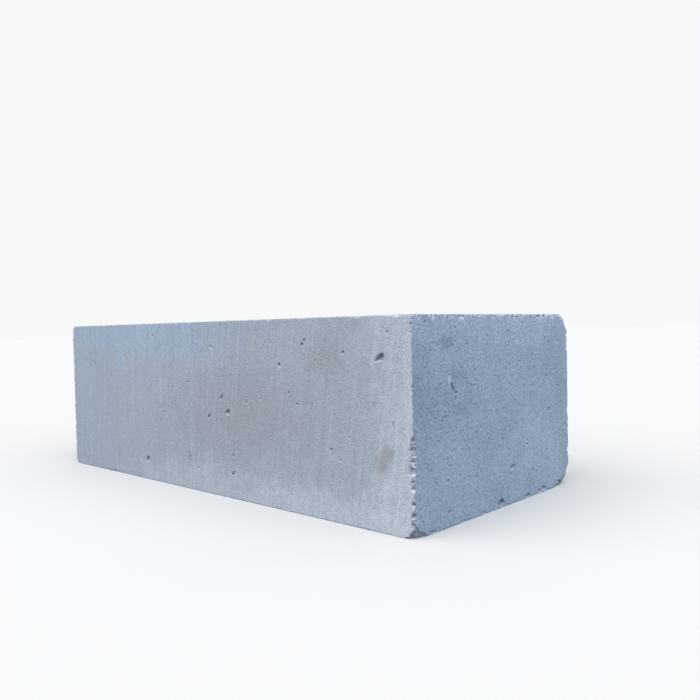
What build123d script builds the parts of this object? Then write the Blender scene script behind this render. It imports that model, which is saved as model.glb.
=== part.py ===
from build123d import *
import os

# One autoclaved aerated concrete block, in millimetres.
# It lies on its bed face: +X runs along its length, +Y across its thickness and +Z up.
# The origin is the middle of the bed face. The near end is the end face at +X, the front
# is the long face at -Y, and the near arris is the upright edge between those two.

# The three coordinating sizes of the block.
block_length = 625.0
block_thickness = 300.0
block_height = 200.0

# Handling wears every arris to this radius.
arris_radius = 1.2

# Corners knocked off the near end: how far each break runs along the block's length,
# thickness and height from where the sharp corner would be.
front_foot_break = (6.0, 12.0, 9.0)
back_foot_break = (9.0, 20.0, 16.0)
back_top_break = (7.0, 12.0, 12.0)

# A shallow flake has come off the lower part of the near arris. It runs out at its top to
# a tip with this share of its full width.
flake_height = 94.0
flake_runout = 12.0
flake_on_front = 3.2
flake_on_end = 3.8
flake_tip_share = 0.2

# Gas bubbles that the cutting wire laid open on the front face. Each ball cuts one dish:
# its distance from the near end, its height, its mouth's radius and its depth. A height
# is measured up from the bed or, where it is negative, down from the top.
# Balls that overlap make the long bubbles.
front_bubbles = [
    (35.0, -38.0, 3.2, 3.0),
    (38.5, -39.5, 2.4, 2.2),
    (41.5, -41.0, 1.5, 1.2),
    (261.5, -102.0, 3.2, 2.8),
    (264.0, -104.0, 2.4, 2.0),
    (272.5, -84.5, 1.6, 1.4),
    (275.0, -87.5, 1.7, 1.4),
    (298.0, -109.5, 2.2, 1.6),
    (431.5, 26.8, 3.5, 2.8),
    (135.5, -23.0, 1.9, 1.6),
    (138.5, -26.0, 2.1, 1.8),
    (174.5, -47.5, 2.3, 1.8),
    (291.5, -28.5, 2.4, 1.4),
    (83.0, -34.5, 1.9, 1.4),
    (254.5, 29.5, 2.2, 1.4),
]

# The same on the near end. The first number is the distance behind the front face or,
# where it is negative, in front of the back face.
end_bubbles = [
    (61.0, -66.5, 2.4, 1.7),
    (63.5, -71.0, 2.4, 1.7),
    (168.0, 38.0, 3.2, 2.2),
    (173.0, 39.5, 2.6, 1.8),
]

# Chips along the foot of the near end, given in the same way.
foot_chips = [
    (112.0, 0.5, 2.4, 1.4),
    (146.5, 2.4, 5.2, 3.2),
    (-62.0, 1.2, 4.2, 2.6),
    (-27.0, 1.4, 4.2, 2.6),
]

# How far a cutting tool stands out of the faces that it cuts through.
tool_overrun = 1.0
# A corner tool is wider than its break by this much, so that it takes the whole corner.
corner_overrun = 40.0

front_y = -block_thickness / 2
back_y = block_thickness / 2
near_x = block_length / 2


def sawn_block():
    """The wire-cut block with its twelve arrises worn round."""
    block = Box(
        block_length,
        block_thickness,
        block_height,
        align=(Align.CENTER, Align.CENTER, Align.MIN),
    )
    return fillet(block.edges(), arris_radius)


def corner_cutter(corner, inward, lengths):
    """A box whose inner face passes through one point on each arris of a corner.
    Inward gives the way back into the block along X, Y and Z, as 1 or -1."""
    x, y, z = corner
    on_x = Vector(x + inward[0] * lengths[0], y, z)
    on_y = Vector(x, y + inward[1] * lengths[1], z)
    on_z = Vector(x, y, z + inward[2] * lengths[2])
    normal = (on_y - on_x).cross(on_z - on_x).normalized()
    if normal.dot(Vector(*inward)) > 0:
        normal = normal * -1
    side = max(lengths) + corner_overrun
    cutter = Box(side, side, side, align=(Align.CENTER, Align.CENTER, Align.MIN))
    return Plane(origin=(on_x + on_y + on_z) / 3, z_dir=normal) * cutter


def corner_cutters():
    """The three knocked-off corners of the near end."""
    front_foot = corner_cutter((near_x, front_y, 0), (-1, 1, 1), front_foot_break)
    back_foot = corner_cutter((near_x, back_y, 0), (-1, -1, 1), back_foot_break)
    back_top = corner_cutter((near_x, back_y, block_height), (-1, -1, -1), back_top_break)
    return [front_foot, back_foot, back_top]


def flake_section(height, share):
    """The outline of the missing flake at one height. The share is how much of its full
    width is left there."""
    inner_x = near_x - flake_on_front * share
    inner_y = front_y + flake_on_end * share
    outer_x = near_x + tool_overrun
    outer_y = front_y - tool_overrun
    outline = Polyline(
        (inner_x, outer_y),
        (inner_x, front_y),
        (near_x, inner_y),
        (outer_x, inner_y),
        (outer_x, outer_y),
        close=True,
    )
    return Plane.XY.offset(height) * make_face(outline)


def flake_cutter():
    """The flake off the near arris, at full width below and running out to a thin top."""
    runout_start = flake_height - flake_runout
    foot = flake_section(-tool_overrun, 1.0)
    shoulder = flake_section(runout_start, 1.0)
    tip = flake_section(flake_height, flake_tip_share)
    return loft([foot, shoulder]) + loft([shoulder, tip])


def measured(distance, low, high):
    """A place between two faces: from the low one or, if negative, from the high one."""
    return low + distance if distance >= 0 else high + distance


def dish_ball(mouth_radius, depth):
    """Radius of the ball that cuts a dish of this mouth and depth into a flat face."""
    return (mouth_radius**2 + depth**2) / (2 * depth)


def front_cutters():
    """The balls that open the front face's bubbles. They stand mostly outside the face."""
    cutters = []
    for from_near_end, height, mouth_radius, depth in front_bubbles:
        ball = dish_ball(mouth_radius, depth)
        x = near_x - from_near_end
        z = measured(height, 0, block_height)
        cutters.append(Pos(x, front_y - ball + depth, z) * Sphere(ball))
    return cutters


def end_cutters():
    """The balls that open the near end's bubbles and chip the arris at its foot."""
    cutters = []
    for across, height, mouth_radius, depth in end_bubbles + foot_chips:
        ball = dish_ball(mouth_radius, depth)
        y = measured(across, front_y, back_y)
        z = measured(height, 0, block_height)
        cutters.append(Pos(near_x + ball - depth, y, z) * Sphere(ball))
    return cutters


def aerated_block():
    """The finished block: one solid, as cut, with its open bubbles, chips and breaks."""
    block = sawn_block()
    for cutter in [flake_cutter(), *corner_cutters(), *front_cutters(), *end_cutters()]:
        block = block - cutter
    return block


os.makedirs("parts", exist_ok=True)
export_step(aerated_block(), "parts/aerated_block.step")
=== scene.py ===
import math

import bmesh
import bpy
from bpy.props import FloatProperty, FloatVectorProperty, IntProperty, PointerProperty
from mathutils import Matrix, Vector, kdtree, noise


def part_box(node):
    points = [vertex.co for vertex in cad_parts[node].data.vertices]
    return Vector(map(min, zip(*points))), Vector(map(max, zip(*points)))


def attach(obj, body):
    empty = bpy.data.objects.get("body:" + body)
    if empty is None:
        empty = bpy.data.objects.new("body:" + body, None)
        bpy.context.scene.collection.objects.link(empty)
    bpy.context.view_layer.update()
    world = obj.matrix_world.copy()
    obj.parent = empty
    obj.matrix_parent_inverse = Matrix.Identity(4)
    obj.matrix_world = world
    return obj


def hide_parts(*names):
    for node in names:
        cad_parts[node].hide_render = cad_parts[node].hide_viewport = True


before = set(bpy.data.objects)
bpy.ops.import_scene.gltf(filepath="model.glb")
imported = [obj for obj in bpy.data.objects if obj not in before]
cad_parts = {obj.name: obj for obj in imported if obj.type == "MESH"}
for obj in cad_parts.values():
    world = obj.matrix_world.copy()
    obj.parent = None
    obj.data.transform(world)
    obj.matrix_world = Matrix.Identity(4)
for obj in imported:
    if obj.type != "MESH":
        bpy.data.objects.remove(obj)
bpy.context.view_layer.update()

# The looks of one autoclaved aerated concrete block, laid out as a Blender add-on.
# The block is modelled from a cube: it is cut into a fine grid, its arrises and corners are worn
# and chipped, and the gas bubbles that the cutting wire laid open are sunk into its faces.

bl_info = {
    "name": "Aerated concrete block",
    "version": (1, 0, 0),
    "blender": (4, 5, 0),
    "location": "3D View > Sidebar > Aerated block",
    "description": "Makes one wire-cut aerated concrete block and a plain studio for it",
    "category": "Add Mesh",
}

CAD_NODE = "aerated_block"
MM = 0.001

LOW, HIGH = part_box(CAD_NODE)
CENTRE = (LOW + HIGH) / 2
HALF = (HIGH - LOW) / 2

# Open bubbles, in millimetres and degrees. The first two numbers place one on its face:
# the distance from the face's own edge, then the height up from the bed or, if negative,
# down from the top. Then come its half length, half width, tilt and depth and, for some, a
# taper, which narrows one end.
# On the front face the distance is measured from the near end.
FRONT_BUBBLES = (
    (37.5, -39, 6.2, 3, 27, 3.2, 0.45), (262.7, -102.9, 3.9, 2.9, 20, 2.8, 0.25),
    (273.5, -86.1, 3.9, 1.5, 47, 1.6), (297.8, -109.8, 3.4, 1.6, 38, 1.5, 0.2),
    (291.3, -29, 3.3, 1.6, -28, 1, 0.2), (138.8, -26.4, 2.4, 1.7, 35, 1.9),
    (136, -22.6, 2.3, 1.4, 60, 1.6), (174.3, -47.7, 2.4, 2.1, 0, 1.8),
    (82.7, -34.4, 2.2, 1.6, 10, 1.4), (27.8, -15.5, 1.5, 1.3, 90, 0.9),
    (22.5, -98.6, 3.3, 0.8, 88, 1), (163.3, -5, 1.9, 1, 5, 0.8),
    (130.8, -53.3, 1.4, 1.1, 60, 0.7), (148.3, -87.4, 1.6, 1.4, 0, 0.9),
    (160.2, -76.3, 2.6, 0.9, 50, 0.8), (228, -88.6, 2.6, 1.2, 80, 0.8),
    (204.2, -84.9, 1.2, 0.9, 0, 0.6), (195, -103.8, 1.2, 0.9, 0, 0.7),
    (189.3, 76.2, 1.3, 1.1, 0, 0.8), (251.3, 61.9, 2.3, 1.2, -45, 0.9),
    (254.2, 48.9, 2.4, 1.7, -30, 1), (255, 28.6, 3.7, 1.4, 50, 1.3, 0.2),
    (302.8, 65.2, 1.5, 1, 0, 0.7), (100.8, 70.9, 2.7, 1.1, 30, 1),
    (87.8, 61.7, 1.7, 0.9, 10, 1), (77, 85.1, 1.2, 1, 0, 0.7),
    (431.2, 26.7, 4.5, 3, 40, 2.8), (322.2, 27.2, 1.9, 1.5, 20, 1.1),
    (389.2, 46.4, 1.8, 1, 15, 0.9), (559.5, -54.1, 3, 1.9, 0, 0.8),
    (412.5, -15.4, 2.9, 2.3, 0, 0.5), (338.3, -71.1, 2.2, 1.1, 20, 0.8),
    (340.5, 43.4, 1.7, 1.3, 60, 0.9), (337.5, 38.9, 2, 1.4, 80, 1),
    (341, 35.4, 1.3, 1, 0, 0.8), (335, 34.4, 1.2, 0.9, 0, 0.7),
)
# On the near end it is measured from the front face.
END_BUBBLES = (
    (62.5, -69.2, 6.6, 1.5, -60, 1.7, 0.2), (67, -79.6, 3.4, 0.9, -70, 0.9),
    (70, -74.5, 1.7, 1, -40, 0.9), (169.7, -161.4, 6, 2.3, 15, 2.4, 0.3),
    (266.7, -64.2, 6.5, 1.3, 22, 1), (102.8, -65.5, 1.4, 1.2, 0, 1.1),
    (90.5, -76.5, 1.3, 1.1, 0, 1), (188, -50.7, 1.9, 0.9, 0, 1),
    (216.3, -78.5, 2.2, 1.3, -20, 1.2), (275.3, -82.7, 2.8, 1.3, 5, 1.2),
    (200.8, -141.4, 1.9, 1.3, 0, 1.2), (136.7, -63, 1.3, 1, 0, 0.9),
    (148.3, -64.2, 1.4, 1, 0, 0.9), (122.5, -81.8, 1.4, 0.9, 0, 0.9),
    (248.3, 34.4, 2.2, 1.1, -45, 1.1), (245.8, 47.4, 2.5, 0.9, -30, 0.9),
    (253, -108.1, 4, 2.6, -30, 0.7), (20.8, -6.8, 1.7, 1, 0, 0.9),
    (40.8, -106.4, 1.3, 1.1, 0, 0.9), (56.7, -107.3, 1.8, 0.9, -20, 0.9),
    (29.2, -77.7, 1.3, 1.1, 0, 1), (34, -85, 1.9, 0.8, 88, 0.9),
    (103, -116.6, 3.1, 0.9, -50, 0.9), (26, 57.4, 1.4, 1, 0, 0.9),
    (55.5, 57.9, 1.5, 1, -30, 0.9), (146.7, 5.4, 5.2, 4, -8, 3.4),
    (238.7, 4.4, 4.6, 2.5, -15, 2.6), (273.3, 4.4, 4.6, 2.7, -10, 2.6),
    (112.5, 2, 2.2, 1.3, 0, 1.4), (202.5, 2.6, 6, 1.6, -4, 1.5),
    (227.5, 3.2, 2.6, 1.9, 0, 1.6), (27, 2.2, 6.5, 1.3, -5, 0.9),
    (77.5, 1.6, 4.2, 1, 0, 1),
)
# The hidden faces have a few plain ones. Back and far end: from the left, seen face on.
BACK_BUBBLES = (
    (96, 132, 3.4, 2.6, 15, 2.4), (142, 58, 2.2, 1.4, 40, 1.4),
    (231, 151, 2.6, 1.9, -20, 1.6), (318, 84, 4.4, 2.5, 30, 2.6, 0.3),
    (334, 97, 1.8, 1.4, 0, 1.2), (402, 33, 2.4, 2, 0, 1.6),
    (477, 121, 1.9, 1.2, 50, 1.1), (538, 66, 3, 2.2, 10, 2),
    (586, 149, 1.7, 1.5, 0, 1.2),
)
FAR_BUBBLES = (
    (71, 128, 4.4, 2, 35, 1.9), (118, 52, 2, 1.2, -30, 1.2),
    (186, 91, 3, 2.3, 10, 1.9), (243, 150, 1.8, 1.3, 0, 1.2),
    (256, 39, 2.6, 1.4, -45, 1.4),
)
# Top: from the far end, then from the front face.
TOP_BUBBLES = (
    (88, 214, 3.2, 2.4, 25, 2.2), (173, 71, 2.4, 1.6, -35, 1.5),
    (204, 162, 4.6, 2.6, 12, 2.7, 0.35), (301, 243, 2, 1.7, 0, 1.4),
    (368, 118, 2.8, 2.1, 60, 1.8), (447, 47, 1.9, 1.3, 20, 1.2),
    (489, 196, 3.6, 2.8, -15, 2.4), (571, 99, 2.1, 1.5, 0, 1.4),
)

# The corners that have been knocked off or worn: each one's signs along X, Y and Z, the
# radii of the wear along X, Y and Z in millimetres, and how round it is (2 is a ball).
WORN_CORNERS = (
    ((1, -1, -1), (4.6, 10.5, 7.5), 1.1),
    ((1, 1, -1), (6, 21, 12.5), 2),
    ((1, 1, 1), (7, 12, 11), 2),
    ((1, -1, 1), (2.5, 2, 2), 1.8),
    ((-1, -1, 1), (4.5, 3, 4), 2),
    ((-1, 1, 1), (5, 4.5, 4.5), 2),
    ((-1, -1, -1), (4, 3, 3), 2),
    ((-1, 1, -1), (6, 5, 4.5), 1.6),
)
# How far past its own radius a worn corner fades into the arrises, in radii.
CORNER_FADE = 1.8

# The flake off the near arris: heights from the top of it down to the bed, with how far it
# reaches from the sharp arris onto the front face and onto the end, in millimetres.
FLAKE = (
    (94, 0, 0), (89, 4, 1.8), (84, 5, 3.2), (77, 5.2, 4.6), (71, 5, 4.6),
    (65, 6.2, 3.6), (58.5, 6.6, 3.6), (55, 4.4, 2.4), (51, 4.6, 1.8), (44.5, 4.6, 3.2),
    (41, 1, 0.7), (37, 0.6, 0.5), (34, 2, 0.9), (31.3, 3.8, 2), (29, 2.4, 2.2),
    (27, 0.9, 2.2), (23.5, 4, 1.8), (18, 4.4, 2.1), (12.7, 5.6, 2.3), (9.5, 3.4, 2.8),
    (0, 4, 4),
)
# The pockets in it: the height of each one's middle, its radius, how far in it reaches, and
# its shift towards the front face (or, if negative, the end), all in millimetres.
SCALLOPS = (
    (87.5, 2.0, 3.2, 0.6), (79.5, 2.8, 4.6, 0.4), (74.6, 1.5, 3.6, -1.2), (69.0, 2.9, 4.8, 0.2),
    (61.6, 2.7, 4.8, 1.0), (66.0, 1.4, 3.9, -1.4), (51.3, 2.1, 3.4, 0.5), (45.6, 1.8, 3.8, 0.3),
    (31.2, 2.3, 3.4, 0.6), (20.6, 2.9, 4.3, 0.4), (16.2, 1.4, 3.2, -0.8), (12.6, 2.2, 4.0, 0.5),
)
FLAKE_TOP = FLAKE[0][0] * MM
FLAKE_WIDTH = 12 * MM
# How ragged the flake and its pockets are, and how round the flake is (1 is a flat cut).
FLAKE_RAGGED, SCALLOP_RAGGED, FLAKE_ROUNDNESS = 0.22, 0.35, 1.12

# How worn the arrises are against the ordinary ones. Those along Z: near front, near back,
# and the two far ones. Then the ones round the top, the ones round the bed, and the top
# arris of the near end.
NEAR_FRONT_WEAR, NEAR_BACK_WEAR, FAR_WEAR = 0.5, 1.2, 1.3
TOP_WEAR, BED_WEAR, END_TOP_WEAR = 0.75, 0.7, 2.6
# How softly the wear of one arris passes into the next at a corner.
ARRIS_BLEND = 0.5 * MM

# How far apart the crumbs, the ordinary chips, the rare big chips and the bites out of the
# near arris are.
CRUMB_SPACING, CHIP_SPACING, RARE_SPACING, BITE_SPACING = 2.3 * MM, 9 * MM, 31 * MM, 2.4 * MM
# The levels of noise that chips, rare chips and bites start at: a higher one makes fewer.
CHIP_LEVEL, RARE_LEVEL, BITE_LEVEL = 0.12, 0.42, 0.06
# How large a rare chip is against an ordinary one, and how far a bite reaches.
RARE_SIZE, BITE_SIZE = 3.2, 3.4 * MM
# Ordinary chips grow with the wear of their arris, up to this many times.
MOST_CHIP_SHARE = 1.9
# No arris is sharper than this.
LEAST_RADIUS = 0.25 * MM

# How deep the wear is where a surface starts to be rough, and where it is fully rough.
ROUGH_FROM, ROUGH_FULL = 0.25 * MM, 1.4 * MM
FRACTURE_PORE_SPACING = 3.1 * MM
# How deep it is where the concrete counts as broken, in the flake and elsewhere.
FLAKE_BROKEN_FROM, BROKEN_FROM = 0.25 * MM, 0.42 * MM

# The grid starts at this cell size and is halved towards the detail, round by round.
COARSE_CELL = 12.5 * MM
# Each round: how near a cell is to a hidden arris, to a seen one, to the flaked one or to a
# bubble, in millimetres, and whether the ends and the widely worn corners are halved too.
HALVINGS = (
    (18, 18, 18, 10, True, False),
    (8, 8, 8, 5, True, True),
    (4.5, 4.5, 4.5, 2.5, False, True),
    (1.3, 2.6, 7, 1, False, False),
    (0, 0, 5, 0.3, False, False),
)
# Corners worn further than this have small cells all over, in millimetres.
WIDE_WEAR = 8
# A place this close to the plane of a face is on it.
ON_FACE = 0.05 * MM
# A place this close to a face's edge is beside the arris.
BESIDE_ARRIS = 6 * MM

# A grid point this close to a bubble's rim, as a share of its radius, is moved onto it.
RIM_SNAP = 0.16
# How ragged a bubble's rim and bowl are, and how far apart their crumbs are.
RIM_RAGGED, RIM_CRUMBS = 0.16, 1.9 * MM
BOWL_RAGGED, BOWL_CRUMBS = 0.2, 1.3 * MM
# The lip below a bubble: how far it reaches, in the bubble's radii, and its share of the depth.
LIP_REACH, LIP_DEPTH = 1.38, 0.3
# A bubble shallower than this gets less painted shade inside.
DARK_DEPTH = 1.1 * MM

# Soft patches of another tone on the front face, in millimetres: the tone, which is one of
# ConcreteColours, the distance from the near end, the height, how far the patch reaches
# along and up the face, and its strength.
# The sky-light, pale and highlight patches are painted light, the pore-toned one is painted shade
# round a cluster of bubbles, and the smudges are stains.
FRONT_PATCHES = (
    ("painted_sky_light", 470, 196, 300, 62, 1), ("painted_sky_light", 590, 90, 90, 130, 0.35),
    ("smudge", 240, 96, 170, 66, 0.55), ("pale", 8, 90, 46, 160, 0.75),
    ("pale", 28, 188, 46, 52, 0.6), ("pale", 110, 4, 230, 34, 1),
    ("pale", 330, 6, 180, 36, 0.6), ("painted_light", 5, 140, 8, 90, 0.25),
    ("painted_light", 16, 24, 48, 64, 0.22), ("smudge", 106, 160, 30, 26, 0.55),
    ("smudge", 36, 63, 12, 13, 0.9), ("smudge", 29, 74, 11, 12, 0.85),
    ("pale", 397, 120, 3.5, 42, 0.35), ("pore_and_shade", 338.5, 39, 5.5, 11, 0.3),
)
# The same on the near end, with the distance measured from the front face.
# The sky-light and highlight patches are painted light; the pore-toned patches darken the end, and
# the one at the foot is painted shade over the lit lower lip of a foot chip.
END_PATCHES = (
    ("painted_sky_light", 205, 198, 190, 38, 0.75), ("painted_sky_light", 228, 46, 84, 70, 0.5),
    ("pore_and_shade", 45, 118, 80, 60, 0.1), ("pore_and_shade", 8, 104, 34, 80, 0.18),
    ("pore_and_shade", 52, 173, 17, 9, 0.42), ("pore_and_shade", 77, 143, 22, 11, 0.26),
    ("pore_and_shade", 78, 109, 18, 11, 0.15), ("pore_and_shade", 146.7, 4.5, 8.5, 7, 0.55),
    ("painted_light", 57, 138.5, 4, 6.5, 0.4),
)
# Where the near end has more open pores, measured in the same way.
POROUS_PATCH = (45, 122, 85, 62)
# How far a patch reaches into the block, in millimetres.
PATCH_DEPTH = 30.0

# The ends are about this far from the middle, in millimetres, and the drag lines lean this
# much there for each unit of height: at the far end, then at the near end.
LEAN_SPAN, FAR_LEAN, NEAR_LEAN = 300.0, 0.02, 0.17
# How far the tears in the ends slant for each unit of height.
TEAR_SLANT = 0.75

# Each lamp's name, the direction it stands in, its strength, softness in degrees and colour.
LAMPS = (
    ("key_light", (-0.35, -0.75, 0.9), 1.68, 70, (1.0, 0.985, 0.965)),
    ("side_light", (0.85, -0.2, 0.6), 1.55, 80, (0.94, 0.975, 1.0)),
    ("top_light", (0.05, 0.05, 1.0), 1.0, 90, (1.0, 1.0, 1.0)),
    ("back_light", (-0.3, 0.8, 0.7), 0.35, 80, (1.0, 1.0, 1.0)),
)
SKY_COLOUR, SKY_STRENGTH = (0.90, 0.955, 1.02), 0.21

NEAR_ARRIS = (1, -1)
LONG_FACE, END_FACE, BED_FACE, BROKEN = range(4)


# What the properties of one kind have in common.
LENGTH = {"subtype": "DISTANCE", "unit": "LENGTH"}
COLOUR = {"size": 3, "min": 0, "max": 1, "subtype": "COLOR"}


class BlockShape(bpy.types.PropertyGroup):
    """How worn the block is."""
    arris_wear: FloatProperty(
        name="Arris wear",
        description="Radius that handling gives every arris",
        default=0.85 * MM, min=0.2 * MM, max=4 * MM, precision=4, **LENGTH,
    )
    chip_size: FloatProperty(
        name="Chip size",
        description="How far the ordinary chips along the arrises reach",
        default=3.4 * MM, min=0.0, max=10 * MM, precision=4, **LENGTH,
    )
    fracture_relief: FloatProperty(
        name="Fracture relief",
        description="How rough a broken surface is",
        default=1.1 * MM, min=0.0, max=3 * MM, precision=4, **LENGTH,
    )
    end_relief: FloatProperty(
        name="End relief",
        description="How uneven the two end faces are",
        default=0.35 * MM, min=0.0, max=2 * MM, precision=5, **LENGTH,
    )
    seed: IntProperty(
        name="Seed",
        description="Another number gives other chips",
        default=4, min=0,
    )


class ConcreteColours(bpy.types.PropertyGroup):
    """The tones of the concrete, and the painted light and shade laid over them."""
    face: FloatVectorProperty(
        name="Cut face",
        description="Smooth wire-cut concrete of the long faces",
        default=(0.442, 0.500, 0.597), **COLOUR,
    )
    # Painted sky light: a bluer tone laid where the faces catch more light from the sky, mostly
    # along their tops.
    painted_sky_light: FloatVectorProperty(
        name="Cool patches",
        description="Where a long face is bluer",
        default=(0.430, 0.540, 0.690), **COLOUR,
    )
    # Painted light: lighter patches where more light falls, mostly along the bed, where light
    # bounces up, and by the near arris.
    pale: FloatVectorProperty(
        name="Pale patches",
        description="Where a long face is lighter",
        default=(0.558, 0.630, 0.726), **COLOUR,
    )
    smudge: FloatVectorProperty(
        name="Smudge",
        description="Brownish grey where hands and straps have rubbed",
        default=(0.380, 0.403, 0.458), **COLOUR,
    )
    # Partly painted shade: the ends are cut rougher, and this tone is also darker and bluer than
    # the cut face's, which stands for shade on the ends.
    end: FloatVectorProperty(
        name="End face",
        description="Rougher concrete of the two ends",
        default=(0.362, 0.455, 0.607), **COLOUR,
    )
    broken: FloatVectorProperty(
        name="Broken surface",
        description="Concrete inside chips and breaks",
        default=(0.41, 0.48, 0.58), **COLOUR,
    )
    # Painted highlight: broken surfaces and bubble lips that face up, and the highlight patches,
    # are lightened with this colour as if lit from above.
    painted_light: FloatVectorProperty(
        name="Ledge",
        description="Pale dust on the ledges of a broken surface",
        default=(0.76, 0.82, 0.90), **COLOUR,
    )
    # Painted shade: the insides of open pores and bubbles, surfaces that face down and the
    # pore-toned patches are darkened with this colour.
    pore_and_shade: FloatVectorProperty(
        name="Pore",
        description="Inside of an open gas bubble",
        default=(0.16, 0.195, 0.26), **COLOUR,
    )


class StudioSetup(bpy.types.PropertyGroup):
    """The studio and the camera."""
    camera_offset: FloatVectorProperty(
        name="Camera place",
        description="Where the camera stands, from the foot of the block's near arris",
        default=(0.3827, -0.4952, 0.1885), size=3, subtype="TRANSLATION", unit="LENGTH",
    )
    camera_turn: FloatVectorProperty(
        name="Camera turn",
        description="The camera's tilt from straight down, its roll and its heading",
        default=(math.radians(88.26), math.radians(-1.24), math.radians(42.633)),
        size=3, subtype="EULER", unit="ROTATION",
    )
    lens: FloatProperty(
        name="Lens",
        description="Focal length on a 36 mm sensor, in millimetres",
        default=36.7, min=10, max=200,
    )
    floor_radius: FloatProperty(
        name="Floor radius",
        description="How far the floor runs",
        default=40.0, min=5, max=100, **LENGTH,
    )
    floor_colour: FloatVectorProperty(
        name="Floor",
        description="Colour of the floor as it is seen",
        default=(0.76, 0.765, 0.77), **COLOUR,
    )
    bounce_colour: FloatVectorProperty(
        name="Floor's bounce",
        description="How much of each colour the floor throws back at the block",
        default=(0.31, 0.32, 0.33), **COLOUR,
    )
    background_colour: FloatVectorProperty(
        name="Background",
        description="Colour beyond the floor",
        default=(0.93, 0.935, 0.94), **COLOUR,
    )


# ---------------------------------------------------------------- shape


def inset(place):
    """How far a place lies inside the sharp box, along X, Y and Z."""
    away = place - CENTRE
    return Vector(HALF[i] - abs(away[i]) for i in range(3))


def side(place):
    """On which side of the middle a place is, as 1 or -1 along X, Y and Z."""
    away = place - CENTRE
    return tuple(1 if away[i] >= 0 else -1 for i in range(3))


def arris_distance(place):
    """Distance from a place on the surface to the nearest arris."""
    return sorted(inset(place))[1]


def smooth_step(low, high, value):
    """0 at low, 1 at high, and an even rise between them. Low may be the larger."""
    share = min(max((value - low) / (high - low), 0), 1)
    return share * share * (3 - 2 * share)


def in_flake(place):
    """Whether a place is in the flaked part of the near arris."""
    gaps = inset(place)
    if side(place)[:2] != NEAR_ARRIS or place.z - LOW.z > FLAKE_TOP:
        return False
    return max(gaps.x, gaps.y) < FLAKE_WIDTH


def flake_reach(place):
    """How far the flake off the near arris reaches along X and Y at a place's height."""
    waver = 1.2 * MM * noise.noise(Vector((3, 8, place.z / (4 * MM))))
    height = (place.z - LOW.z + waver) / MM
    for (high, *at_high), (low, *at_low) in zip(FLAKE, FLAKE[1:]):
        if low <= height <= high:
            share = (height - low) / (high - low)
            front, end = (a + (b - a) * share for a, b in zip(at_low, at_high))
            return front * MM, end * MM
    return 0.0, 0.0


def arris_share(place):
    """How worn the arrises round a place are, the nearest ones counting most."""
    signs, gaps = side(place), inset(place)
    upright = {(1, -1): NEAR_FRONT_WEAR, (1, 1): NEAR_BACK_WEAR}.get(signs[:2], FAR_WEAR)
    level = TOP_WEAR if signs[2] > 0 else BED_WEAR
    on_end = END_TOP_WEAR if signs[2] > 0 and signs[0] > 0 else level
    total = weights = 0.0
    # The wear of the nearest arrises along X, Y and Z, in that order.
    for axis, wear in enumerate((level, on_end, upright)):
        reach = max(gaps[other] for other in range(3) if other != axis)
        weight = 1 / (reach + ARRIS_BLEND) ** 2
        total += weight * wear
        weights += weight
    return total / weights


def corner_gap(place, worn):
    """How far a place is from its corner, as a share of how far the corner's wear fades."""
    gaps = inset(place)
    return math.hypot(*(gaps[i] / (CORNER_FADE * worn[i] * MM) for i in range(3)))


def wear_radii(place, shape):
    """The radii that wear and chips have at a place along X, Y and Z, and how round they
    are: 2 is round, and a lower number cuts flatter."""
    shift = Vector((shape.seed * 1.7, shape.seed * 0.9, 0))
    fine = noise.noise(place / CRUMB_SPACING + shift)
    chips = noise.fractal(place / CHIP_SPACING + shift, 0.8, 2.2, 3)
    rare = noise.noise(place / RARE_SPACING - shift)
    gaps = inset(place)
    share = arris_share(place)
    radius = shape.arris_wear * share * (1 + 1.5 * fine)
    radius += shape.chip_size * max(chips - CHIP_LEVEL, 0) * min(share, MOST_CHIP_SHARE)
    radius += RARE_SIZE * shape.chip_size * max(rare - RARE_LEVEL, 0) * min(share, 1)
    # A wide chip is cut flatter than a narrow one.
    roundness = 2 - 0.75 * smooth_step(1.3 * MM, 3 * MM, radius)
    if side(place)[:2] == NEAR_ARRIS and max(gaps.x, gaps.y) < 4 * MM:
        radius += BITE_SIZE * max(noise.noise(place / BITE_SPACING - shift) - BITE_LEVEL, 0)
    radii = Vector((max(radius, LEAST_RADIUS),) * 3)
    if in_flake(place):
        front, end = flake_reach(place)
        ragged = 1 + FLAKE_RAGGED * fine
        if max(front, end) > radius:
            roundness = FLAKE_ROUNDNESS
            radii.x, radii.y = max(front * ragged, radius), max(end * ragged, radius)
    for signs, worn, corner_roundness in WORN_CORNERS:
        if side(place) != signs:
            continue
        fade = max(1 - corner_gap(place, worn) ** 4, 0)
        corner = Vector(worn) * MM * fade * (1 + 0.1 * fine)
        if max(corner) > max(radii):
            radii = Vector(max(corner[i], radii[i]) for i in range(3))
            roundness = corner_roundness
    return radii, roundness


def scalloped(place):
    """A point of the flake, pushed in to where the pockets in it leave it."""
    inward = Vector((-1, 1, 0)).normalized()
    sideways = Vector((-1, -1, 0)).normalized()
    arris = Vector((HIGH.x, LOW.y, LOW.z))
    for height, radius, reach, shift in SCALLOPS:
        middle = Vector((0, 0, height)) + inward * (reach - radius) + sideways * shift
        away = place - arris - middle * MM
        ragged = radius * MM * (1 + SCALLOP_RAGGED * noise.noise(place / (1.5 * MM)))
        across = away - inward * away.dot(inward)
        if across.length < ragged:
            deepest = math.sqrt(ragged**2 - across.length_squared)
            place = place + inward * max(deepest - away.dot(inward), 0)
    return place


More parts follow.
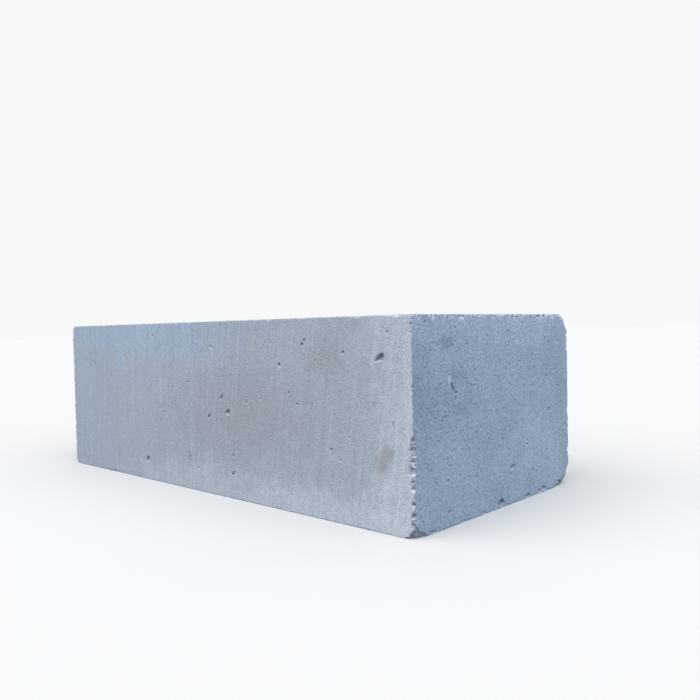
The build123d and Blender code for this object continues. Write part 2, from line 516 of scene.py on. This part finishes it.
def worn_place(place, shape):
    """Where wear leaves a point of the sharp box, and how far it took it."""
    radii, roundness = wear_radii(place, shape)
    gaps = inset(place)
    out = Vector(max(1 - gaps[i] / radii[i], 0) for i in range(3))
    size = sum(part**roundness for part in out) ** (1 / roundness)
    if size <= 1 or sorted(out)[1] == 0:
        return place.copy(), 0.0
    signs = side(place)
    pull = 1 - 1 / size
    moved = Vector(signs[i] * out[i] * pull * radii[i] for i in range(3))
    taken = moved.length
    if taken > ROUGH_FROM:
        inward = moved.normalized()
        relief = shape.fracture_relief * smooth_step(ROUGH_FROM, ROUGH_FULL, taken)
        rough = 0.5 + 0.5 * noise.fractal(place / CRUMB_SPACING, 0.7, 2.1, 3)
        near, _ = noise.voronoi(place / FRACTURE_PORE_SPACING)
        pocket = smooth_step(0.42, 0.16, near[0])
        moved += inward * relief * (0.5 * max(rough, 0) + 0.4 * pocket)
    return place - moved, taken


class Bubble:
    """One open gas bubble: an ellipse on a face, sunk into it."""

    def __init__(self, centre, right, up, half_length, half_width, tilt, depth, taper=0.0):
        turn = math.radians(tilt)
        self.centre = centre
        self.along = right * math.cos(turn) + up * math.sin(turn)
        self.across = up * math.cos(turn) - right * math.sin(turn)
        self.inward = -right.cross(up)
        self.half_length = half_length * MM
        self.half_width = half_width * MM
        self.depth = depth * MM
        self.taper = taper
        self.level = abs(self.inward.z) > 0.5

    def spot(self, place):
        """A place in the bubble's own measure: along, across and radius, 1 at its rim."""
        away = place - self.centre
        if abs(away.dot(self.inward)) > ON_FACE:
            return None
        u = away.dot(self.along) / self.half_length
        width = self.half_width * (1 + self.taper * min(max(u, -1), 1))
        v = away.dot(self.across) / width
        ragged = 1 + RIM_RAGGED * noise.noise(place / RIM_CRUMBS)
        return u, v, math.hypot(u, v) * ragged

    def sunk(self, place):
        """How far in a point of the face goes, how much painted shade the bubble's inside gets
        there, and how much of a lip it is, which gets a painted highlight: deepest in the middle,
        steep at the rim, and chipped below it."""
        found = self.spot(place)
        if found is None or found[2] >= LIP_REACH:
            return Vector(), 0.0, 0.0
        radius = found[2]
        away = place - self.centre
        below = max(-away.z / max(away.length, 0.01 * MM), 0) if not self.level else 0.0
        if radius >= 1:
            lip = below * (LIP_REACH - radius) / (LIP_REACH - 1)
            return self.inward * (LIP_DEPTH * self.depth * lip), 0.0, lip
        bowl = math.sqrt(1 - radius**2)
        depth = self.depth * bowl * (1 + BOWL_RAGGED * noise.noise(place / BOWL_CRUMBS))
        lip_depth = LIP_DEPTH * self.depth * below
        lean = Vector() if self.level else Vector((0, 0, 0.2 * depth))
        # Painted shade inside the bubble: darkest in its middle, and less in a shallow bubble.
        shade = bowl * min(self.depth / DARK_DEPTH, 1)
        return self.inward * max(depth, lip_depth) + lean, shade, below * (1 - bowl)


def bubbles():
    """Every open bubble, placed on its face."""
    x_axis, y_axis, z_axis = Vector((1, 0, 0)), Vector((0, 1, 0)), Vector((0, 0, 1))
    top = HIGH.z - LOW.z

    def upward(height):
        return height * MM if height >= 0 else top + height * MM

    # Each table's face: where a distance and a height lead, and what is right and up there.
    faces = (
        (FRONT_BUBBLES, lambda x, z: (HIGH.x - x, LOW.y, LOW.z + z), x_axis, z_axis),
        (END_BUBBLES, lambda y, z: (HIGH.x, LOW.y + y, LOW.z + z), y_axis, z_axis),
        (BACK_BUBBLES, lambda x, z: (HIGH.x - x, HIGH.y, LOW.z + z), -x_axis, z_axis),
        (FAR_BUBBLES, lambda y, z: (LOW.x, HIGH.y - y, LOW.z + z), -y_axis, z_axis),
        (TOP_BUBBLES, lambda x, y: (LOW.x + x, LOW.y + y, HIGH.z), x_axis, y_axis),
    )
    found = []
    for table, middle, right, up in faces:
        for distance, height, *sizes in table:
            centre = Vector(middle(distance * MM, upward(height)))
            found.append(Bubble(centre, right, up, *sizes))
    return found


def cut_grid(bm):
    """Makes a cube the size of the block and cuts it into even square cells."""
    bmesh.ops.create_cube(bm, size=1)
    bmesh.ops.scale(bm, vec=HIGH - LOW, verts=bm.verts)
    bmesh.ops.translate(bm, vec=CENTRE, verts=bm.verts)
    for face in bm.faces:
        steepest = max(range(3), key=lambda i: abs(face.normal[i]))
        face.material_index = (END_FACE, LONG_FACE, BED_FACE)[steepest]
    for axis in range(3):
        edges = [
            edge for edge in bm.edges
            if abs((edge.verts[0].co - edge.verts[1].co).normalized()[axis]) > 0.9
        ]
        cuts = round((HIGH - LOW)[axis] / COARSE_CELL) - 1
        bmesh.ops.subdivide_edges(bm, edges=edges, cuts=cuts, use_grid_fill=True)


def halve_cells(bm, wanted):
    """Halves the cells whose middle passes the test."""
    edges = dict.fromkeys(
        edge for face in bm.faces if wanted(face.calc_center_median()) for edge in face.edges
    )
    bmesh.ops.subdivide_edges(
        bm, edges=list(edges), cuts=1, use_grid_fill=True, use_single_edge=True
    )


def seen_arris(place):
    """Whether the nearest arris bounds the near end or the front face."""
    signs, gaps = side(place), inset(place)
    near = [signs[i] if gaps[i] <= BESIDE_ARRIS else 0 for i in range(3)]
    return near[0] == 1 or near[1] == -1


def near_worn_corner(place):
    """Whether a place is where a corner's wear is wide enough to need small cells."""
    return any(
        side(place) == signs and max(worn) > WIDE_WEAR and corner_gap(place, worn) < 1
        for signs, worn, _ in WORN_CORNERS
    )


class BubbleField:
    """All the open bubbles, found quickly by place."""

    def __init__(self, bubbles):
        self.bubbles = bubbles
        self.longest = max(bubble.half_length for bubble in bubbles)
        self.tree = kdtree.KDTree(len(bubbles))
        for index, bubble in enumerate(bubbles):
            self.tree.insert(bubble.centre, index)
        self.tree.balance()

    def around(self, place, margin):
        """The bubbles whose rims are within a margin of a place."""
        for _, index, distance in self.tree.find_range(place, self.longest + margin):
            if distance < self.bubbles[index].half_length + margin:
                yield self.bubbles[index]

    def is_near(self, place, margin):
        return any(True for _ in self.around(place, margin))

    def snapped(self, place):
        """A place close to a bubble's rim, moved along the face onto the rim."""
        for bubble in self.around(place, 0.5 * MM):
            found = bubble.spot(place)
            if found and abs(found[2] - 1) < RIM_SNAP:
                return bubble.centre + (place - bubble.centre) / found[2]
        return place.copy()

    def sunk(self, place):
        """What the deepest bubble at a place does to it, as in Bubble.sunk."""
        hollows = [bubble.sunk(place) for bubble in self.around(place, 2 * MM)]
        return max(hollows, key=lambda hollow: hollow[1:], default=(Vector(), 0.0, 0.0))


def refine(bm, field):
    """Halves the cells towards arrises, bubbles and the flake."""
    for hidden, seen, flaked, bubble, ends, corners in HALVINGS:
        def wanted(place):
            strip = flaked if in_flake(place) else seen if seen_arris(place) else hidden
            return (
                arris_distance(place) < strip * MM
                or field.is_near(place, bubble * MM)
                or ends and inset(place).x < ON_FACE
                or corners and near_worn_corner(place)
            )

        halve_cells(bm, wanted)


def unevenness(place, shape):
    """How far the rough saw cut of an end lies inside the flat, from place to place."""
    gaps = inset(place)
    if gaps.x > ON_FACE:
        return Vector()
    stretched = Vector((place.x, place.y / (6 * MM), place.z / (4 * MM)))
    depth = shape.end_relief * (0.5 + 0.5 * noise.fractal(stretched, 0.7, 2.1, 4))
    # It fades out towards the arrises, which have wear of their own.
    fade = smooth_step(0, 3 * MM, min(gaps.y, gaps.z))
    return Vector((-side(place)[0] * max(depth, 0) * fade, 0, 0))


def wear_and_sink(bm, field, shape):
    """Moves every point of the grid to where wear, chips and bubbles leave it, and records each
    point's shares of painted shade and painted highlight.
    """
    broken = bm.verts.layers.float.new("broken")
    bubble_shade = bm.verts.layers.float.new("bubble_shade")
    painted_light = bm.verts.layers.float.new("painted_light")
    for vert in bm.verts:
        place = field.snapped(vert.co)
        sunk, bowl, lip = field.sunk(place)
        worn, taken = worn_place(place, shape)
        if in_flake(place):
            pocket = scalloped(worn)
            taken += (pocket - worn).length
            worn = pocket
        vert.co = worn + sunk + unevenness(place, shape)
        least = FLAKE_BROKEN_FROM if in_flake(place) else BROKEN_FROM
        vert[broken] = smooth_step(least, 2.2 * least, taken)
        # Painted shade inside bubbles, and the painted highlight share of their lower lips.
        vert[bubble_shade] = bowl
        vert[painted_light] = lip
    for face in bm.faces:
        share = sum(vert[broken] for vert in face.verts) / len(face.verts)
        if share > 0.5:
            face.material_index = BROKEN
        face.smooth = True
    bm.normal_update()
    # Painted light from above: broken surfaces and bubble lips that face up get a painted
    # highlight share, and broken surfaces and bubble insides that face down get a negative share,
    # which is painted shade.
    for vert in bm.verts:
        upward = min(max(2 * vert.normal.z, -1), 1)
        if upward > 0:
            vert[painted_light] = max(vert[broken], vert[painted_light]) * upward
        else:
            vert[painted_light] = max(vert[broken], min(2 * vert[bubble_shade], 1)) * upward


def make_block_mesh(shape):
    """The whole block as one closed mesh, with its four finishes' faces marked."""
    field = BubbleField(bubbles())
    bm = bmesh.new()
    cut_grid(bm)
    refine(bm, field)
    bmesh.ops.triangulate(bm, faces=[face for face in bm.faces if len(face.verts) > 4])
    bmesh.ops.recalc_face_normals(bm, faces=bm.faces)
    wear_and_sink(bm, field, shape)
    mesh = bpy.data.meshes.new("aerated_concrete_block")
    bm.to_mesh(mesh)
    bm.free()
    return mesh


# ---------------------------------------------------------------- materials


class Net:
    """Short ways to add and join a node tree's nodes."""

    def __init__(self, tree):
        self.tree = tree

    def put(self, socket, value):
        """Joins a socket to another, or sets its value."""
        if isinstance(value, bpy.types.NodeSocket):
            self.tree.links.new(value, socket)
        else:
            socket.default_value = value

    def node(self, kind, values=None, **settings):
        made = self.tree.nodes.new(kind)
        for name, value in settings.items():
            setattr(made, name, value)
        for name, value in (values or {}).items():
            self.put(made.inputs[name], value)
        return made

    def maths(self, operation, first, second):
        return self.node("ShaderNodeMath", {0: first, 1: second}, operation=operation).outputs[0]

    def parts(self, vector):
        return self.node("ShaderNodeSeparateXYZ", {0: vector}).outputs

    def joined(self, x, y, z):
        return self.node("ShaderNodeCombineXYZ", {0: x, 1: y, 2: z}).outputs[0]

    def vector(self, operation, first, second):
        made = self.node("ShaderNodeVectorMath", {0: first, 1: second}, operation=operation)
        return made.outputs["Value" if operation == "LENGTH" else "Vector"]

    def scaled(self, vector, factor):
        made = self.node("ShaderNodeVectorMath", {0: vector, "Scale": factor}, operation="SCALE")
        return made.outputs["Vector"]

    def counted(self, vector, size):
        """A place counted in units of a size."""
        return self.scaled(vector, self.maths("DIVIDE", 1.0, size))

    def remap(self, value, low, high, new_low=0.0, new_high=1.0, smooth=False):
        """A value's share between low and high, clamped, as new_low to new_high."""
        values = {
            "Value": value, "From Min": low, "From Max": high,
            "To Min": new_low, "To Max": new_high,
        }
        kind = "SMOOTHSTEP" if smooth else "LINEAR"
        made = self.node("ShaderNodeMapRange", values, interpolation_type=kind, clamp=True)
        return made.outputs["Result"]

    def mix(self, factor, first, second, blend="MIX"):
        made = self.node("ShaderNodeMix", data_type="RGBA", blend_type=blend)
        for index, value in ((0, factor), (6, first), (7, second)):
            self.put(made.inputs[index], value)
        return made.outputs[2]

    def noise(self, vector, detail, roughness, distortion=0.0):
        """Noise of unit size, from 0 to 1."""
        values = {
            "Vector": vector, "Scale": 1.0, "Detail": detail,
            "Roughness": roughness, "Distortion": distortion,
        }
        return self.node("ShaderNodeTexNoise", values).outputs[0]


def new_effect(name, vectors=("Place",), **numbers):
    """An empty shader node group, with the Net of its nodes, its inputs and its output. It
    takes vectors, and numbers that have defaults."""
    tree = bpy.data.node_groups.new(name, "ShaderNodeTree")

    def socket(label, way, kind):
        return tree.interface.new_socket(name=label, in_out=way, socket_type=kind)

    for label in vectors:
        socket(label, "INPUT", "NodeSocketVector")
    for label, default in numbers.items():
        socket(label, "INPUT", "NodeSocketFloat").default_value = default
    socket("Value", "OUTPUT", "NodeSocketFloat")
    net = Net(tree)
    return net, net.node("NodeGroupInput").outputs, net.node("NodeGroupOutput").inputs[0]


def fine_grain_effect():
    """Sandy grain of the size given."""
    net, given, out = new_effect("fine_grain", Size=2.0)
    place = net.counted(given["Place"], given["Size"])
    net.put(out, net.remap(net.noise(place, 4.0, 0.65), 0.28, 0.72))
    return net.tree


def cloud_effect():
    """Broad, soft changes of tone."""
    net, given, out = new_effect("clouds", Size=80.0)
    place = net.counted(given["Place"], given["Size"])
    net.put(out, net.remap(net.noise(place, 3.0, 0.5, 0.4), 0.3, 0.7, smooth=True))
    return net.tree


def gas_pore_effect():
    """Small gas pores that the cut laid open. Each cell of the pattern has one or none."""
    net, given, out = new_effect("gas_pores", Spacing=4.0, Radius=0.8, Share=0.5)
    place = net.counted(given["Place"], given["Spacing"])
    cells = net.node("ShaderNodeTexVoronoi", {"Vector": place, "Scale": 1.0})
    gap = net.maths("MULTIPLY", cells.outputs["Distance"], given["Spacing"])
    chance = net.node("ShaderNodeSeparateColor", {0: cells.outputs["Color"]}).outputs
    is_open = net.maths("LESS_THAN", chance[0], given["Share"])
    radius = net.maths("MULTIPLY", given["Radius"], net.remap(chance[1], 0, 1, 0.4, 1.0))
    depth = net.remap(gap, net.maths("MULTIPLY", radius, 0.55), radius, 1.0, 0.0, smooth=True)
    net.put(out, net.maths("MULTIPLY", depth, is_open))
    return net.tree


def wire_drag_effect():
    """Faint lines that the cutting wire dragged along a face. They run along the place's
    third number and repeat across its first."""
    net, given, out = new_effect("wire_drag", Spacing=7.0, Length=160.0)
    across = net.maths("DIVIDE", 1.0, given["Spacing"])
    along = net.maths("DIVIDE", 1.0, given["Length"])
    place = net.vector("MULTIPLY", given["Place"], net.joined(across, along, along))
    net.put(out, net.remap(net.noise(place, 3.0, 0.6), 0.3, 0.7))
    return net.tree


def soft_patch_effect():
    """One soft-edged patch: 1 in its middle and 0 outside it."""
    net, given, out = new_effect("soft_patch", ("Place", "Middle", "Reach"))
    away = net.vector("SUBTRACT", given["Place"], given["Middle"])
    gap = net.vector("LENGTH", net.vector("DIVIDE", away, given["Reach"]), (0, 0, 0))
    wander = net.noise(net.scaled(given["Place"], 1 / 14), 3.0, 0.6)
    gap = net.maths("ADD", gap, net.remap(wander, 0.2, 0.8, -0.45, 0.45))
    net.put(out, net.remap(gap, 1.1, 0.25, smooth=True))
    return net.tree


def rgba(colour):
    return (*colour, 1.0)


class Concrete:
    """What every finish of the concrete shares: one place in millimetres, a base colour
    that effects are laid over in turn, and a relief in millimetres."""

    def __init__(self, name, colour, effects):
        self.material = bpy.data.materials.new(name)
        self.material.use_nodes = True
        self.net = Net(self.material.node_tree)
        self.effects = effects
        here = self.net.node("ShaderNodeTexCoord").outputs["Object"]
        self.place = self.net.scaled(here, 1 / MM)
        self.colour = rgba(colour)
        self.relief = 0.0

    def effect(self, name, **values):
        """What a shared effect gives, here or at another place."""
        values.setdefault("Place", self.place)
        return self.net.node("ShaderNodeGroup", values, node_tree=self.effects[name]).outputs[0]

    def attribute(self, name):
        return self.net.node("ShaderNodeAttribute", attribute_name=name).outputs["Fac"]

    def tone(self, value, strength):
        """Lightens or darkens the colour about its middle by a value from 0 to 1."""
        grey = self.net.remap(value, 0.0, 1.0, 1 - strength, 1 + strength)
        grey = self.net.node("ShaderNodeCombineColor", {0: grey, 1: grey, 2: grey}).outputs[0]
        self.colour = self.net.mix(1.0, self.colour, grey, "MULTIPLY")

    def cover(self, mask, colour, strength):
        """Lays a colour over the base where a mask is."""
        factor = self.net.maths("MULTIPLY", mask, strength)
        self.colour = self.net.mix(factor, self.colour, rgba(colour))

    def paint_shade_and_highlight(self, colours):
        """Paints shade into bubbles and onto broken surfaces that face down, and paints a
        highlight on broken surfaces and bubble lips that face up.
        """
        painted_light = self.attribute("painted_light")
        # The negative share: painted shade on surfaces that face down.
        under = self.net.maths("MULTIPLY", painted_light, -1.0)
        self.cover(self.attribute("bubble_shade"), colours.pore_and_shade, 0.6)
        self.cover(self.net.maths("MAXIMUM", under, 0.0), colours.pore_and_shade, 0.5)
        self.cover(self.net.maths("MAXIMUM", painted_light, 0.0), colours.painted_light, 0.75)

    def front_patch(self, distance, height, wide, tall):
        """A soft patch on the front face, placed as in FRONT_PATCHES."""
        middle = (HIGH.x / MM - distance, LOW.y / MM, LOW.z / MM + height)
        return self.effect("soft_patch", Middle=middle, Reach=(wide, PATCH_DEPTH, tall))

    def end_patch(self, distance, height, wide, tall):
        """A soft patch on the near end, placed as in END_PATCHES."""
        middle = (HIGH.x / MM, LOW.y / MM + distance, LOW.z / MM + height)
        return self.effect("soft_patch", Middle=middle, Reach=(PATCH_DEPTH, wide, tall))

    def raise_by(self, value, height):
        """Adds a relief of some millimetres where a value is 1."""
        part = self.net.maths("MULTIPLY", value, height)
        self.relief = self.net.maths("ADD", self.relief, part)

    def finish(self, colours, roughness, specular):
        """The material, with the painted shade and highlight of bubbles and broken surfaces laid
        over all the other colours.
        """
        net = self.net
        self.paint_shade_and_highlight(colours)
        bump = net.node("ShaderNodeBump", {"Height": self.relief, "Distance": MM, "Strength": 1.0})
        shader = net.tree.nodes["Principled BSDF"]
        net.put(shader.inputs["Base Color"], self.colour)
        net.put(shader.inputs["Normal"], bump.outputs["Normal"])
        net.put(shader.inputs["Roughness"], roughness)
        net.put(shader.inputs["Specular IOR Level"], specular)
        return self.material


def long_face_finish(effects, colours):
    """Smooth wire-cut faces, with faint upright drag lines that lean towards the near end."""
    stone = Concrete("wire_cut_face", colours.face, effects)
    net = stone.net
    x, y, z = net.parts(stone.place)
    lean = net.remap(x, -LEAN_SPAN, LEAN_SPAN, FAR_LEAN, NEAR_LEAN)
    across = net.maths("SUBTRACT", x, net.maths("MULTIPLY", z, lean))
    leaning = net.joined(across, y, z)
    drag = stone.effect("wire_drag", Place=leaning, Spacing=5.5, Length=150.0)
    fine_drag = stone.effect("wire_drag", Place=leaning, Spacing=2.2, Length=60.0)
    grain = stone.effect("fine_grain", Size=1.6)
    clouds = stone.effect("clouds", Size=90.0)
    pores = stone.effect("gas_pores", Spacing=9.0, Radius=1.1, Share=0.35)
    coarse = stone.effect("fine_grain", Size=4.0)
    for tone, *place, strength in FRONT_PATCHES:
        stone.cover(stone.front_patch(*place), getattr(colours, tone), strength)
    stone.tone(clouds, 0.02)
    stone.tone(drag, 0.055)
    stone.tone(fine_drag, 0.04)
    stone.tone(grain, 0.25)
    stone.tone(coarse, 0.02)
    # Painted shade in the open pores.
    stone.cover(pores, colours.pore_and_shade, 0.4)
    stone.raise_by(drag, 0.10)
    stone.raise_by(grain, 0.25)
    stone.raise_by(pores, -0.4)
    return stone.finish(colours, 0.93, 0.25)


def end_face_finish(effects, colours):
    """The ends: a rougher cut, finely porous, with short slanting tears."""
    stone = Concrete("rough_cut_end", colours.end, effects)
    net = stone.net
    x, y, z = net.parts(stone.place)
    across = net.maths("ADD", z, net.maths("MULTIPLY", y, TEAR_SLANT))
    along = net.maths("SUBTRACT", y, net.maths("MULTIPLY", z, TEAR_SLANT))
    slanting = net.joined(across, x, along)
    tears = stone.effect("wire_drag", Place=slanting, Spacing=1.9, Length=7.0)
    grain = stone.effect("fine_grain", Size=2.4)
    clouds = stone.effect("clouds", Size=46.0)
    porous = stone.end_patch(*POROUS_PATCH)
    share = net.maths("ADD", 0.26, net.maths("MULTIPLY", porous, 0.42))
    small = stone.effect("gas_pores", Spacing=3.6, Radius=1.0, Share=share)
    large = stone.effect("gas_pores", Spacing=8.0, Radius=1.8, Share=share)
    coarse = stone.effect("fine_grain", Size=5.0)
    for tone, *place, strength in END_PATCHES:
        stone.cover(stone.end_patch(*place), getattr(colours, tone), strength)
    stone.tone(clouds, 0.055)
    stone.tone(grain, 0.30)
    stone.tone(coarse, 0.085)
    stone.tone(tears, 0.08)
    # Painted shade in the open pores, small and large.
    stone.cover(small, colours.pore_and_shade, 0.6)
    stone.cover(large, colours.pore_and_shade, 0.6)
    stone.raise_by(tears, 0.22)
    stone.raise_by(grain, 0.40)
    stone.raise_by(small, -0.4)
    stone.raise_by(large, -0.6)
    return stone.finish(colours, 0.95, 0.2)


def bed_face_finish(effects, colours):
    """The bed and the top: wire-cut like the long faces, with lines across the block."""
    stone = Concrete("wire_cut_bed", colours.face, effects)
    x, y, z = stone.net.parts(stone.place)
    turned = stone.net.joined(x, z, y)
    drag = stone.effect("wire_drag", Place=turned, Spacing=7.5, Length=190.0)
    grain = stone.effect("fine_grain", Size=1.9)
    clouds = stone.effect("clouds", Size=110.0)
    pores = stone.effect("gas_pores", Spacing=7.0, Radius=1.2, Share=0.4)
    coarse = stone.effect("fine_grain", Size=4.0)
    stone.tone(clouds, 0.035)
    stone.tone(drag, 0.045)
    stone.tone(grain, 0.16)
    stone.tone(coarse, 0.055)
    # Painted shade in the open pores.
    stone.cover(pores, colours.pore_and_shade, 0.4)
    stone.raise_by(drag, 0.12)
    stone.raise_by(grain, 0.2)
    stone.raise_by(pores, -0.45)
    return stone.finish(colours, 0.94, 0.22)


def broken_finish(effects, colours):
    """Fresh fracture inside chips and breaks, rough and full of open pores."""
    stone = Concrete("broken_concrete", colours.broken, effects)
    grain = stone.effect("fine_grain", Size=1.8)
    small = stone.effect("gas_pores", Spacing=2.2, Radius=0.85, Share=0.7)
    stone.tone(grain, 0.2)
    # Painted shade in the open pores.
    stone.cover(small, colours.pore_and_shade, 0.5)
    stone.raise_by(grain, 0.4)
    stone.raise_by(small, -0.5)
    return stone.finish(colours, 0.96, 0.15)


def make_finishes(colours):
    """The four finishes, in the order of their face numbers."""
    effects = {
        "fine_grain": fine_grain_effect(),
        "clouds": cloud_effect(),
        "gas_pores": gas_pore_effect(),
        "wire_drag": wire_drag_effect(),
        "soft_patch": soft_patch_effect(),
    }
    return [
        long_face_finish(effects, colours),
        end_face_finish(effects, colours),
        bed_face_finish(effects, colours),
        broken_finish(effects, colours),
    ]


# ---------------------------------------------------------------- studio


def seen_or_lit(net, seen, lit):
    """One colour for the camera's own view, and another for the light thrown back."""
    path = net.node("ShaderNodeLightPath").outputs["Is Camera Ray"]
    return net.mix(path, rgba(lit), rgba(seen))


def add_object(name, data):
    added = bpy.data.objects.new(name, data)
    bpy.context.scene.collection.objects.link(added)
    return added


def make_floor(setup):
    """A wide round floor that meets the pale background far away."""
    bm = bmesh.new()
    bmesh.ops.create_circle(bm, cap_ends=True, segments=96, radius=setup.floor_radius)
    mesh = bpy.data.meshes.new("studio_floor")
    bm.to_mesh(mesh)
    bm.free()
    floor = add_object("studio_floor", mesh)
    material = bpy.data.materials.new("studio_floor")
    material.use_nodes = True
    net = Net(material.node_tree)
    shader = net.tree.nodes["Principled BSDF"]
    net.put(shader.inputs["Base Color"], seen_or_lit(net, setup.floor_colour, setup.bounce_colour))
    net.put(shader.inputs["Roughness"], 0.9)
    net.put(shader.inputs["Specular IOR Level"], 0.0)
    mesh.materials.append(material)


def make_lamp(name, direction, strength, softness, colour):
    """A wide, soft lamp that shines evenly from one direction."""
    light = bpy.data.lights.new(name, "SUN")
    light.energy = strength
    light.angle = math.radians(softness)
    light.color = colour
    lamp = add_object(name, light)
    lamp.rotation_euler = Vector(direction).to_track_quat("Z", "Y").to_euler()


def make_sky(setup):
    """A pale background that gives an even, cooler light."""
    world = bpy.data.worlds.new("studio_light")
    world.use_nodes = True
    net = Net(world.node_tree)
    lit = tuple(SKY_STRENGTH * part for part in SKY_COLOUR)
    background = net.tree.nodes["Background"]
    net.put(background.inputs["Color"], seen_or_lit(net, setup.background_colour, lit))
    net.put(background.inputs["Strength"], 1.0)
    bpy.context.scene.world = world


def make_camera(setup):
    """The camera, set up from the foot of the block's near arris."""
    data = bpy.data.cameras.new("camera")
    data.sensor_width = 36
    data.lens = setup.lens
    data.clip_start, data.clip_end = 0.01, 50
    camera = add_object("camera", data)
    foot = Vector((HIGH.x, LOW.y, LOW.z))
    tilt, roll, heading = setup.camera_turn
    turn = Matrix.Rotation(heading, 4, "Z") @ Matrix.Rotation(tilt, 4, "X")
    turn = turn @ Matrix.Rotation(roll, 4, "Z")
    camera.matrix_world = Matrix.Translation(foot + Vector(setup.camera_offset)) @ turn
    bpy.context.scene.camera = camera


# ---------------------------------------------------------------- operators and panel


class AERATED_OT_block(bpy.types.Operator):
    """Make the aerated concrete block"""
    bl_idname = "aerated.block"
    bl_label = "Aerated concrete block"

    def execute(self, context):
        settings = context.scene.aerated_block
        block = add_object("aerated_concrete_block", make_block_mesh(settings.shape))
        for finish in make_finishes(settings.colours):
            block.data.materials.append(finish)
        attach(block, "root")
        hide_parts(CAD_NODE)
        return {"FINISHED"}


class AERATED_OT_studio(bpy.types.Operator):
    """Make the floor, the lamps and the camera"""
    bl_idname = "aerated.studio"
    bl_label = "Studio and camera"

    def execute(self, context):
        setup = context.scene.aerated_block.studio
        make_floor(setup)
        for lamp in LAMPS:
            make_lamp(*lamp)
        make_sky(setup)
        make_camera(setup)
        context.scene.view_settings.view_transform = "Standard"
        return {"FINISHED"}


class AeratedBlockSettings(bpy.types.PropertyGroup):
    """Everything a user may change."""
    shape: PointerProperty(type=BlockShape)
    colours: PointerProperty(type=ConcreteColours)
    studio: PointerProperty(type=StudioSetup)


class AERATED_PT_panel(bpy.types.Panel):
    """The block's sizes and colours, and the buttons that make it"""
    bl_idname = "AERATED_PT_panel"
    bl_label = "Aerated concrete block"
    bl_space_type = "VIEW_3D"
    bl_region_type = "UI"
    bl_category = "Aerated block"

    def draw(self, context):
        settings = context.scene.aerated_block
        for group in (settings.shape, settings.colours, settings.studio):
            box = self.layout.box()
            for name in group.__annotations__:
                box.prop(group, name)
        for operator in (AERATED_OT_block, AERATED_OT_studio):
            self.layout.operator(operator.bl_idname)


CLASSES = (
    BlockShape, ConcreteColours, StudioSetup, AeratedBlockSettings,
    AERATED_OT_block, AERATED_OT_studio, AERATED_PT_panel,
)


def register():
    for item in CLASSES:
        bpy.utils.register_class(item)
    bpy.types.Scene.aerated_block = PointerProperty(type=AeratedBlockSettings)


def unregister():
    del bpy.types.Scene.aerated_block
    for item in reversed(CLASSES):
        bpy.utils.unregister_class(item)


def main():
    register()
    bpy.ops.aerated.block()
    bpy.ops.aerated.studio()


if __name__ == "__main__":
    main()
